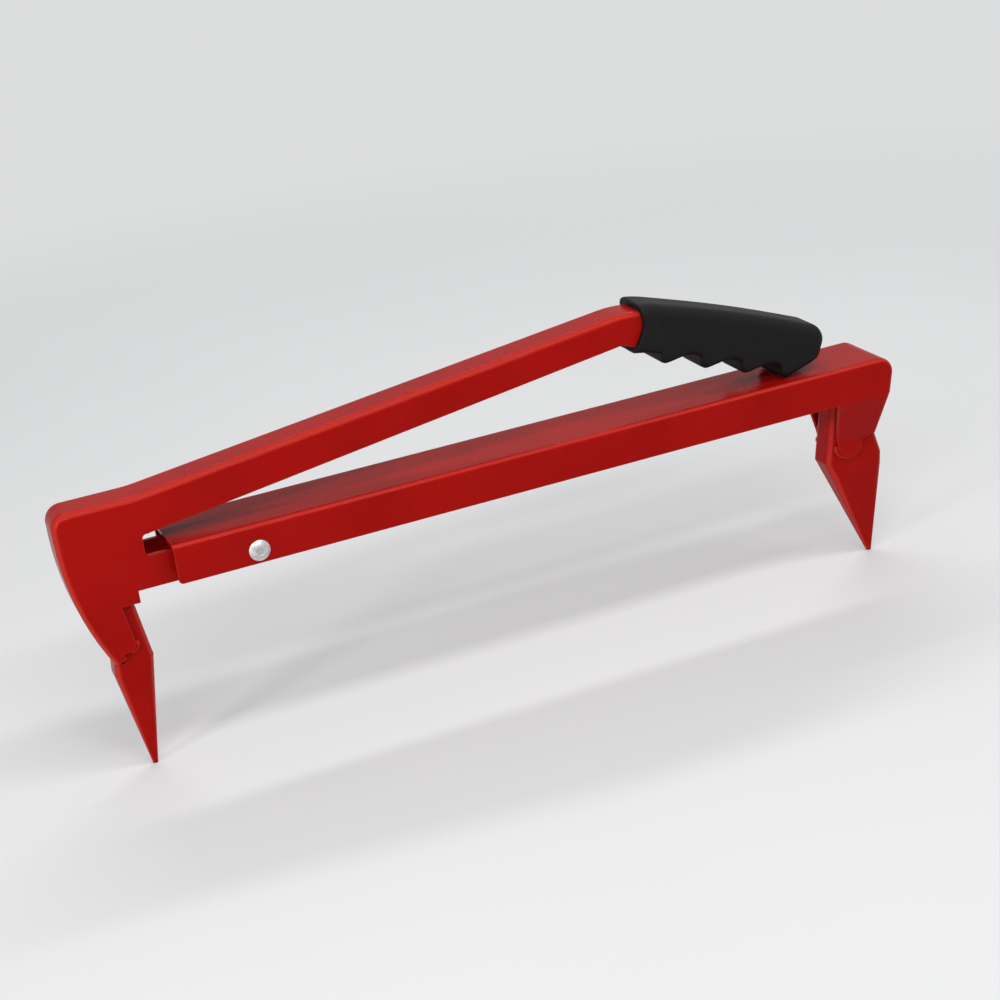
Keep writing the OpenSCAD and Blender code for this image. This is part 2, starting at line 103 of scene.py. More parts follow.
class EnamelSettings(bpy.types.PropertyGroup):
    """Stoved red enamel on the steel of the bar, the lever and the claws."""

    colour: bpy.props.FloatVectorProperty(
        name="Enamel", description="Colour of the enamel", subtype="COLOR",
        size=3, min=0.0, max=1.0, default=(0.315, 0.0035, 0.0022))
    # Also the colour of the painted highlight along the folds, besides thin enamel at edges and
    # scratches
    thin_and_highlight_colour: bpy.props.FloatVectorProperty(
        name="Thin enamel", description="Colour where the enamel draws thin over an edge",
        subtype="COLOR", size=3, min=0.0, max=1.0, default=(0.50, 0.030, 0.020))
    steel_colour: bpy.props.FloatVectorProperty(
        name="Bare steel", description="Colour of the steel where the enamel is rubbed off",
        subtype="COLOR", size=3, min=0.0, max=1.0, default=(0.20, 0.185, 0.175))
    roughness: bpy.props.FloatProperty(
        name="Roughness", description="Roughness of the enamel where nothing has rubbed it",
        min=0.05, max=0.9, default=0.27)
    peel: bpy.props.FloatProperty(
        name="Orange peel", description="Height of the waves in the enamel",
        subtype="DISTANCE", unit="LENGTH", min=0.0, max=0.0002, default=0.00005, precision=6)
    edge: bpy.props.FloatProperty(
        name="Edge", description="Width of the band along an edge that draws thin",
        subtype="DISTANCE", unit="LENGTH", min=0.0002, max=0.004, default=0.0009, precision=5)
    # Strength of the painted highlight that lightens the rounded folds
    fold_highlight: bpy.props.FloatProperty(
        name="Folds", description="How much the enamel draws thin round a fold",
        subtype="FACTOR", min=0.0, max=1.0, default=0.8)
    rub: bpy.props.FloatProperty(
        name="Rubbed", description="How much of the edges and tips is rubbed",
        subtype="FACTOR", min=0.0, max=1.0, default=0.35)


class ZincSettings(bpy.types.PropertyGroup):
    """Bright zinc on the rivet, the spacers and the tube over it."""

    colour: bpy.props.FloatVectorProperty(
        name="Zinc", description="Colour of the plated zinc", subtype="COLOR",
        size=3, min=0.0, max=1.0, default=(0.72, 0.70, 0.70))
    # Also darkens the rivet's middle dimple, as painted shade
    dull_and_shade_colour: bpy.props.FloatVectorProperty(
        name="Dull zinc", description="Colour of the zinc where it has dulled",
        subtype="COLOR", size=3, min=0.0, max=1.0, default=(0.46, 0.43, 0.44))
    roughness: bpy.props.FloatProperty(
        name="Roughness", description="Roughness of the bright zinc",
        min=0.05, max=0.9, default=0.30)


class WeldSettings(bpy.types.PropertyGroup):
    """Weld beads that hold the claws between the tongues."""

    bead: bpy.props.FloatProperty(
        name="Bead", description="Radius of the round bead in its corner",
        subtype="DISTANCE", unit="LENGTH", min=0.0005, max=0.002, default=0.00165, precision=5)
    ripple: bpy.props.FloatProperty(
        name="Ripple", description="Length of one ripple along the bead",
        subtype="DISTANCE", unit="LENGTH", min=0.0005, max=0.003, default=0.0014, precision=5)
    swell: bpy.props.FloatProperty(
        name="Swell", description="How far each ripple swells, as a share of the bead",
        subtype="FACTOR", min=0.0, max=0.4, default=0.14)


class GripSettings(bpy.types.PropertyGroup):
    """Moulded black hand grip on the end of the lever."""

    colour: bpy.props.FloatVectorProperty(
        name="Grip", description="Colour of the moulded grip", subtype="COLOR",
        size=3, min=0.0, max=1.0, default=(0.0042, 0.0036, 0.0036))
    rubbed_colour: bpy.props.FloatVectorProperty(
        name="Rubbed grip", description="Colour of the grip where hands rub it",
        subtype="COLOR", size=3, min=0.0, max=1.0, default=(0.0105, 0.0095, 0.0092))
    length: bpy.props.FloatProperty(
        name="Length", description="Length from the bend of the lever to the end of the grip",
        subtype="DISTANCE", unit="LENGTH", min=0.08, max=0.15, default=0.1125)
    width: bpy.props.FloatProperty(
        name="Width", description="Width across the grip",
        subtype="DISTANCE", unit="LENGTH", min=0.02, max=0.04, default=0.028)
    cover: bpy.props.FloatProperty(
        name="Cover", description="Height of the grip above the lever's steel",
        subtype="DISTANCE", unit="LENGTH", min=0.001, max=0.008, default=0.0038)
    crown: bpy.props.FloatProperty(
        name="Crown", description="How far the top of the grip bows up in the middle",
        subtype="DISTANCE", unit="LENGTH", min=0.0, max=0.004, default=0.0012)
    finger_pitch: bpy.props.FloatProperty(
        name="Finger pitch", description="Distance from one finger ridge to the next",
        subtype="DISTANCE", unit="LENGTH", min=0.018, max=0.03, default=0.0237)
    pebble: bpy.props.FloatProperty(
        name="Pebble", description="Height of the fine grain in the moulded surface",
        subtype="DISTANCE", unit="LENGTH", min=0.0, max=0.0003, default=0.00011, precision=6)


class StudioSettings(bpy.types.PropertyGroup):
    """Floor, lamps and camera."""

    floor_colour: bpy.props.FloatVectorProperty(
        name="Floor", description="Colour of the floor near the tongs",
        subtype="COLOR", size=3, min=0.0, max=1.0, default=(0.72, 0.72, 0.72))
    backdrop_colour: bpy.props.FloatVectorProperty(
        name="Backdrop", description="Colour of the far floor and of the room behind it",
        subtype="COLOR", size=3, min=0.0, max=1.0, default=(0.72, 0.725, 0.73))
    room_colour: bpy.props.FloatVectorProperty(
        name="Room light", description="Colour of the light that comes from all round",
        subtype="COLOR", size=3, min=0.0, max=1.0, default=(0.44, 0.45, 0.46))
    azimuth: bpy.props.FloatProperty(
        name="Azimuth", description="Angle of the camera from square on, below zero to the left",
        subtype="ANGLE", unit="ROTATION", default=math.radians(-20.0))
    elevation: bpy.props.FloatProperty(
        name="Elevation", description="Angle of the camera above the floor",
        subtype="ANGLE", unit="ROTATION", default=math.radians(22.0))
    roll: bpy.props.FloatProperty(
        name="Roll", description="Turn of the camera about its own view",
        subtype="ANGLE", unit="ROTATION", default=math.radians(-7.4))
    distance: bpy.props.FloatProperty(
        name="Distance", description="Distance from the camera to the middle of the tongs",
        subtype="DISTANCE", unit="LENGTH", min=0.5, max=5.0, default=1.0)
    lens: bpy.props.FloatProperty(
        name="Lens", description="Focal length of the camera in millimetres",
        min=20.0, max=200.0, default=71.5)


# Shader sums


class Signal:
    """A number that varies over a surface. Sums written with it add their own Math nodes."""

    def __init__(self, finish, socket):
        self.finish = finish
        self.socket = socket

    def sum_of(self, operation, first, second=0.0):
        node = self.finish.add("ShaderNodeMath", {"operation": operation}, {0: first, 1: second})
        return Signal(self.finish, node.outputs[0])

    def __add__(self, other):
        return self.sum_of("ADD", self, other)

    def __radd__(self, other):
        return self.sum_of("ADD", other, self)

    def __sub__(self, other):
        return self.sum_of("SUBTRACT", self, other)

    def __rsub__(self, other):
        return self.sum_of("SUBTRACT", other, self)

    def __mul__(self, other):
        return self.sum_of("MULTIPLY", self, other)

    def __rmul__(self, other):
        return self.sum_of("MULTIPLY", other, self)

    def __truediv__(self, other):
        return self.sum_of("DIVIDE", self, other)

    def __rtruediv__(self, other):
        return self.sum_of("DIVIDE", other, self)

    def power(self, other):
        return self.sum_of("POWER", self, other)

    def larger(self, other):
        return self.sum_of("MAXIMUM", self, other)

    def wave(self):
        return self.sum_of("SINE", self)

    def size(self):
        return self.sum_of("ABSOLUTE", self)


class Nodes:
    """The nodes of one material or of the world."""

    def __init__(self, holder):
        holder.use_nodes = True
        self.tree = holder.node_tree
        self.tree.nodes.clear()

    def seen(self):
        """1 for what the camera sees straight, in a mirror or through glass, and 0 for light."""
        path = self.add("ShaderNodeLightPath", {}, {})
        straight, mirrored_ray, through = (
            Signal(self, path.outputs[kind])
            for kind in ("Is Camera Ray", "Is Glossy Ray", "Is Transmission Ray"))
        return straight.larger(mirrored_ray).larger(through)

    def add(self, kind, settings, inputs):
        """Adds a node: its settings first, then the values or links of its sockets."""
        node = self.tree.nodes.new(kind)
        for name, value in settings.items():
            if name == "stops":
                ramp = node.color_ramp
                while len(ramp.elements) < len(value):
                    ramp.elements.new(1.0)
                for stop, (position, colour) in zip(ramp.elements, value):
                    stop.position = position
                    stop.color = colour
            else:
                setattr(node, name, value)
        for name, value in inputs.items():
            source = value.socket if isinstance(value, Signal) else value
            if isinstance(source, bpy.types.NodeSocket):
                self.tree.links.new(source, node.inputs[name])
            else:
                node.inputs[name].default_value = source
        return node


class Finish(Nodes):
    """A material under construction, in millimetres of the object's own frame."""

    def __init__(self, name):
        self.material = bpy.data.materials.new(name)
        super().__init__(self.material)
        own = self.add("ShaderNodeTexCoord", {}, {})
        place = own.outputs["Object"]
        self.facing = own.outputs["Normal"]
        self.place = self.scaled(place, (1 / MM, 1 / MM, 1 / MM))
        parts = self.add("ShaderNodeSeparateXYZ", {}, {"Vector": self.place})
        self.x, self.y, self.z = (Signal(self, part) for part in parts.outputs)

    def scaled(self, place, scale, middle=(0.0, 0.0, 0.0)):
        """The place, stretched or squeezed along the axes, with its middle moved."""
        node = self.add(
            "ShaderNodeMapping", {"vector_type": "POINT"},
            {"Vector": place, "Location": middle, "Scale": scale})
        return node.outputs["Vector"]

    def grain(self, size, detail=2.0, roughness=0.5, place=None, twist=0.0):
        """Soft noise whose lumps are about size millimetres across."""
        node = self.add(
            "ShaderNodeTexNoise", {"noise_dimensions": "3D"},
            {"Vector": place or self.place, "Scale": 1.0 / size, "Detail": detail,
             "Roughness": roughness, "Distortion": twist})
        return Signal(self, node.outputs[0])

    def cells(self, size, feature="F1", place=None):
        """Distance pattern of pebbles about size millimetres across."""
        node = self.add(
            "ShaderNodeTexVoronoi", {"feature": feature},
            {"Vector": place or self.place, "Scale": 1.0 / size})
        return Signal(self, node.outputs["Distance"])

    def step(self, signal, low, high, first=0.0, last=1.0):
        """Smooth change from first to last while the signal goes from low to high."""
        node = self.add(
            "ShaderNodeMapRange", {"interpolation_type": "SMOOTHSTEP", "clamp": True},
            {"Value": signal, "From Min": low, "From Max": high, "To Min": first, "To Max": last})
        return Signal(self, node.outputs[0])

    def blend(self, mask, under, over):
        """The colour under where the mask is 0, and over where it is 1."""
        node = self.add(
            "ShaderNodeMix", {"data_type": "RGBA", "clamp_factor": True},
            {0: mask, 6: solid(under), 7: solid(over)})
        return node.outputs[2]

    def edges(self, width):
        """1 along the edges of the shape and 0 on its flats, from a bevel of that width."""
        round_normal = self.add("ShaderNodeBevel", {"samples": 6}, {"Radius": width})
        true_normal = self.add("ShaderNodeNewGeometry", {}, {})
        match = self.add(
            "ShaderNodeVectorMath", {"operation": "DOT_PRODUCT"},
            {0: round_normal.outputs[0], 1: true_normal.outputs["Normal"]})
        return self.step(Signal(self, match.outputs["Value"]), 0.995, 0.88)

    def folds(self):
        """1 on what is folded or rounded along the tongs, and 0 on flat tops, sides and ends: the
        band of the painted fold highlight.
        """
        parts = self.add("ShaderNodeSeparateXYZ", {}, {"Vector": self.facing})
        sideways = Signal(self, parts.outputs["Y"]).size()
        return self.step(sideways, 0.10, 0.55) * self.step(sideways, 0.93, 0.72)

    def relief(self, height, width=0.0):
        """A surface normal from a height in millimetres, over edges rounded to that width."""
        inputs = {"Height": height, "Distance": MM, "Strength": 1.0}
        if width:
            rounded = self.add("ShaderNodeBevel", {"samples": 6}, {"Radius": width})
            inputs["Normal"] = rounded.outputs[0]
        return self.add("ShaderNodeBump", {}, inputs).outputs[0]

    def close(self, inputs):
        """Ends the material with its surface shader."""
        surface = self.add("ShaderNodeBsdfPrincipled", {}, inputs)
        self.add("ShaderNodeOutputMaterial", {}, {"Surface": surface.outputs[0]})
        return self.material


def solid(colour):
    """A plain colour as four numbers, and a linked colour as it is."""
    if isinstance(colour, bpy.types.NodeSocket):
        return colour
    return (*colour, 1.0)


def dress(obj, material):
    """Gives an object that material alone."""
    obj.data.materials.clear()
    obj.data.materials.append(material)


# Materials


def red_enamel(name, settings, tips, rub_zones):
    """Stoved enamel: drift of tone, orange peel, a painted highlight along the folds, thin edges,
    rubbed tips and hair scratches.
    """
    finish = Finish(name)
    drift = finish.grain(55.0, 3.0, 0.55)
    mottle = finish.grain(9.0, 2.0, 0.5)
    speck = finish.grain(1.3, 5.0, 0.65)
    peel = finish.grain(2.1, 1.5, 0.45)
    flow = finish.grain(14.0, 1.0, 0.4)
    edge = finish.edges(settings.edge)
    # Painted highlight: the rounded folds are lightened towards the thin colour
    fold_highlight = finish.folds() * settings.fold_highlight

    # Rubbed places: the claws' tips, the edges, and what touches at the pivot
    tip = finish.step(finish.z + mottle * 8.0, 24.0, 2.0) if tips else None
    worn = edge * settings.rub
    if tip is not None:
        worn = worn.larger(tip * 0.5)
    for x, z, reach in rub_zones:
        away = ((finish.x - x) * (finish.x - x) + (finish.z - z) * (finish.z - z)).power(0.5)
        worn = worn.larger(finish.step(away + mottle * 6.0, reach + 2.0, reach - 2.0, 0.0, 0.42))
    chipped = finish.step(speck + worn * 0.45, 0.82, 0.87) * finish.step(worn, 0.12, 0.34)

    # Hair scratches, drawn out along the bar and a little across it
    along = finish.grain(1.0, 2.0, 0.5, finish.scaled(finish.place, (0.028, 1.6, 1.6)), 0.4)
    askew = finish.add(
        "ShaderNodeMapping", {"vector_type": "POINT"},
        {"Vector": finish.place, "Rotation": (0.3, 0.55, 0.2), "Scale": (0.05, 2.1, 2.1)})
    across = finish.grain(1.0, 2.0, 0.5, askew.outputs["Vector"], 0.3)
    scratch = finish.step(along, 0.70, 0.74) + finish.step(across, 0.73, 0.76)
    scratch = scratch * finish.step(finish.grain(30.0, 2.0, 0.5), 0.46, 0.66)

    base = finish.blend(
        finish.step(drift, 0.30, 0.70), [c * 0.91 for c in settings.colour],
        [min(1.0, c * 1.08) for c in settings.colour])
    # Painted highlight along the folds
    base = finish.blend(fold_highlight, base, settings.thin_and_highlight_colour)
    base = finish.blend(edge * 0.65, base, settings.thin_and_highlight_colour)
    base = finish.blend(scratch * 0.16, base, settings.thin_and_highlight_colour)
    base = finish.blend(chipped, base, settings.steel_colour)
    rough = settings.roughness + (mottle - 0.5) * 0.10 + (drift - 0.5) * 0.08
    rough = rough + scratch * 0.10 + worn * 0.16 + chipped * 0.12
    height = (peel - 0.5) * (settings.peel / MM) + (flow - 0.5) * 0.05
    height = height - chipped * 0.05 - scratch * 0.004
    return finish.close({
        "Base Color": base,
        "Roughness": rough,
        "Metallic": chipped * 0.85,
        "Normal": finish.relief(height, 0.00055),
        "Specular IOR Level": 0.04,
        "Specular Tint": (1.0, 0.46, 0.42, 1.0),
        "Coat Weight": 0.07 - chipped * 0.07,
        "Coat Roughness": 0.08,
        "Coat IOR": 1.45,
    })


def bright_zinc(name, settings, x, z, dimple):
    """Zinc plate with turned rings about an axis, dull patches, and painted shade that darkens the
    dimple in the middle.
    """
    finish = Finish(name)
    away = ((finish.x - x) * (finish.x - x) + (finish.z - z) * (finish.z - z)).power(0.5)
    patches = finish.grain(2.6, 4.0, 0.6)
    fine = finish.grain(0.35, 3.0, 0.6)
    rings = (away * 9.0 + patches * 3.0).wave()
    edge = finish.edges(0.0005)
    # Painted shade: the dimple in the middle is darkened, over its bump
    middle = finish.step(away, 2.3, 1.5) * dimple
    dull = finish.step(patches, 0.42, 0.68) * 0.75
    # Dull patches, and the painted shade in the dimple
    base = finish.blend(dull.larger(middle * 0.8), settings.colour, settings.dull_and_shade_colour)
    base = finish.blend(edge * 0.6, base, (0.84, 0.83, 0.83))
    rough = settings.roughness + dull * 0.18 + (fine - 0.5) * 0.12 - edge * 0.06
    height = rings * 0.006 + (fine - 0.5) * 0.02 - middle * 0.45
    return finish.close({
        "Base Color": base,
        "Roughness": rough,
        "Metallic": 0.95 - dull * 0.12,
        "Normal": finish.relief(height, 0.0005),
    })


def moulded_black(name, settings):
    """Soft black moulding: fine pebble, the mould's parting line, and a polish where hands rub."""
    finish = Finish(name)
    pebble = finish.cells(0.75, "SMOOTH_F1")
    fine = finish.grain(0.30, 3.0, 0.6)
    cloud = finish.grain(16.0, 3.0, 0.55)
    dust = finish.grain(3.2, 5.0, 0.7)
    edge = finish.edges(0.0022)
    parting = finish.step(finish.y.size() + (finish.grain(2.0) - 0.5) * 0.06, 0.24, 0.10)
    rubbed = edge * 0.8 + finish.step(cloud, 0.50, 0.75) * 0.3
    base = finish.blend(rubbed, settings.colour, settings.rubbed_colour)
    base = finish.blend(
        finish.step(dust, 0.66, 0.80) * 0.10, base, (0.085, 0.078, 0.070))
    rough = 0.62 + (cloud - 0.5) * 0.14 + (dust - 0.5) * 0.10 - rubbed * 0.14
    height = (0.5 - pebble) * (settings.pebble / MM) + (fine - 0.5) * 0.012 + parting * 0.03
    return finish.close({
        "Base Color": base,
        "Roughness": rough,
        "Normal": finish.relief(height, 0.0004),
        "Specular IOR Level": 0.17,
    })


def pale_floor(name, settings):
    """Matt pale floor with the faintest unevenness."""
    finish = Finish(name)
    tone = finish.grain(420.0, 3.0, 0.5)
    fibre = finish.grain(1.6, 3.0, 0.6)
    base = finish.blend(
        finish.step(tone, 0.35, 0.65), [c * 0.985 for c in settings.floor_colour],
        settings.floor_colour)
    away = (finish.x * finish.x + finish.y * finish.y).power(0.5)
    lit = finish.add("ShaderNodeBsdfPrincipled", {}, {
        "Base Color": base,
        "Roughness": 0.86 + (fibre - 0.5) * 0.08,
        "Normal": finish.relief((fibre - 0.5) * 0.02),
        "Specular IOR Level": 0.2,
    })
    glow = finish.add("ShaderNodeEmission", {}, {"Color": solid(settings.backdrop_colour)})
    mixed = finish.add("ShaderNodeMixShader", {}, {
        0: finish.step(away, 420.0, 1300.0) * finish.seen(),
        1: lit.outputs[0],
        2: glow.outputs[0],
    })
    finish.add("ShaderNodeOutputMaterial", {}, {"Surface": mixed.outputs[0]})
    return finish.material


# Modelling by hand


def open_mesh(obj):
    """Selects one object alone and enters its mesh."""
    bpy.ops.object.select_all(action="DESELECT")
    obj.select_set(True)
    bpy.context.view_layer.objects.active = obj
    bpy.ops.object.mode_set(mode="EDIT")


def close_mesh():
    """Turns all faces outwards and leaves the mesh."""
    bpy.ops.mesh.select_all(action="SELECT")
    bpy.ops.mesh.remove_doubles(threshold=1e-6)
    bpy.ops.mesh.normals_make_consistent(inside=False)
    bpy.ops.object.mode_set(mode="OBJECT")


def pick_corners(obj, wanted):
    """Selects the corners whose place passes the test, and what lies wholly between them."""
    bpy.ops.mesh.select_mode(type="VERT")
    bpy.ops.mesh.select_all(action="DESELECT")
    mesh = bmesh.from_edit_mesh(obj.data)
    count = 0
    for corner in mesh.verts:
        if wanted(corner.co):
            corner.select_set(True)
            count += 1
    mesh.select_flush_mode()
    bmesh.update_edit_mesh(obj.data)
    if not count:
        raise RuntimeError(f"{obj.name}: nothing is there to select")


def pick_edges(obj, wanted):
    """Selects the edges whose two ends pass the test."""
    bpy.ops.mesh.select_mode(type="EDGE")
    bpy.ops.mesh.select_all(action="DESELECT")
    mesh = bmesh.from_edit_mesh(obj.data)
    count = 0
    for line in mesh.edges:
        if wanted(line.verts[0].co, line.verts[1].co):
            line.select_set(True)
            count += 1
    bmesh.update_edit_mesh(obj.data)
    if not count:
        raise RuntimeError(f"{obj.name}: no edge is there to select")


def pick_faces(obj, wanted):
    """Selects the faces whose middle and normal pass the test."""
    bpy.ops.mesh.select_mode(type="FACE")
    bpy.ops.mesh.select_all(action="DESELECT")
    mesh = bmesh.from_edit_mesh(obj.data)
    mesh.normal_update()
    count = 0
    for face in mesh.faces:
        if wanted(face.calc_center_median(), face.normal):
            face.select_set(True)
            count += 1
    bmesh.update_edit_mesh(obj.data)
    if not count:
        raise RuntimeError(f"{obj.name}: no face is there to select")


def draw_out(along):
    """Extrudes what is selected by that much."""
    bpy.ops.mesh.extrude_region_move(TRANSFORM_OT_translate={"value": along})


def shift(along):
    """Moves what is selected."""
    bpy.ops.transform.translate(value=along)


def swing(angle, centre):
    """Turns what is selected about the Y axis through a centre, from X towards Z."""
    bpy.ops.transform.rotate(value=angle, orient_axis="Y", center_override=centre)


def resize(share, centre):
    """Scales what is selected about a centre."""
    bpy.ops.transform.resize(value=share, center_override=centre)


def finish_piece(obj, levels, angle):
    """Applies a subdivision surface and smooths all but the sharp edges."""
    bpy.ops.object.select_all(action="DESELECT")
    obj.select_set(True)
    bpy.context.view_layer.objects.active = obj
    bpy.ops.object.transform_apply(location=True, rotation=True, scale=True)
    if levels:
        round_off = obj.modifiers.new("Round", "SUBSURF")
        round_off.levels = levels
        round_off.render_levels = levels
        bpy.ops.object.modifier_apply(modifier=round_off.name)
    bpy.ops.object.shade_smooth_by_angle(angle=angle)


def mirrored(obj, name):
    """A copy of a piece on the other side of the tongs, with its own mesh."""
    bpy.ops.object.select_all(action="DESELECT")
    obj.select_set(True)
    bpy.context.view_layer.objects.active = obj
    bpy.ops.object.duplicate(linked=False)
    twin = bpy.context.object
    twin.name = name
    twin.scale.y = -1.0
    bpy.ops.object.transform_apply(location=True, rotation=True, scale=True)
    open_mesh(twin)
    bpy.ops.mesh.select_all(action="SELECT")
    bpy.ops.mesh.normals_make_consistent(inside=False)
    bpy.ops.object.mode_set(mode="OBJECT")
    bpy.ops.object.shade_smooth_by_angle(angle=math.radians(50))
    return twin


# Pieces


def weld_bead(name, settings, centre, root_radius, root_y, start, end):
    """A rippled fillet bead round a tongue's edge, from one angle to another about its centre."""
    bead, taper = settings.bead, 0.42
    out = bead * 0.42
    reach = root_radius + out
    turn_round = math.radians(end - start)
    ripples = max(3, round(abs(turn_round) * reach / settings.ripple))
    steps = ripples * 4
    first = math.radians(start)
    middle = (
        centre[0] + reach * math.cos(first), root_y - out, centre[1] + reach * math.sin(first))
    bpy.ops.mesh.primitive_circle_add(
        vertices=12, radius=bead * taper, fill_type="NGON", location=middle,
        rotation=(0, -first, 0))
    obj = bpy.context.object
    obj.name = name
    bpy.ops.object.transform_apply(location=True, rotation=True, scale=True)
    open_mesh(obj)
    bpy.ops.mesh.select_all(action="SELECT")
    size = taper
    pivot = (centre[0], 0.0, centre[1])
    for step in range(1, steps + 1):
        angle = first + turn_round * step / steps
        here = (
            centre[0] + reach * math.cos(angle), root_y - out,
            centre[1] + reach * math.sin(angle))
        draw_out((0.0, 0.0, 0.0))
        swing(turn_round / steps, pivot)
        wanted = 0.92 + settings.swell * abs(math.sin(math.pi * step / 4.0)) ** 0.7
        wanted *= 1.0 + 0.05 * math.sin(step * 1.7) + 0.03 * math.sin(step * 0.61)
        wanted *= min(1.0, taper + 0.12 * step, 0.36 + 0.12 * (steps - step))
        share = wanted / size
        resize((share, share, share), here)
        size = wanted
    close_mesh()
    finish_piece(obj, 1, math.radians(50))
    return obj


def underside(s, pitch):
    """Height of the grip's underside below the steel's top, at a place along it, in millimetres."""
    ridges = [RIDGE_FIRST + k * pitch for k in range(RIDGES)]
    ridge_mid, radius = RIDGE_MIDDLE, RIDGE_RADIUS
    last = ridges[-1]
    if s < ridges[0] - radius:
        return COLLAR
    if s > last + HEEL_START:
        slope = (s - last - HEEL_START) / (HEEL_END - last - HEEL_START)
        return HEEL_LOW + slope * HEEL_RISE if s <= HEEL_END else -13.0 + (s - HEEL_END) * 3.65
    depth = HOLLOW
    for k, ridge in enumerate(ridges):
        away = s - ridge
        if abs(away) <= radius and (away <= 0 or k == 3):
            depth = min(depth, ridge_mid - math.sqrt(radius ** 2 - away ** 2))
        elif 0 < away <= 1.5:
            depth = min(depth, ridge_mid - math.sqrt(radius ** 2 - away ** 2))
        elif 1.5 < away <= 12.0 and k < 3:
            depth = min(depth, -25.2 + (away - 1.5) * 5.7 / 10.5)
        elif -6.0 <= away < -radius and k > 0:
            depth = min(depth, -22.5 + math.sqrt(max(0.0, radius ** 2 - (away + 6.0) ** 2)))
    return depth


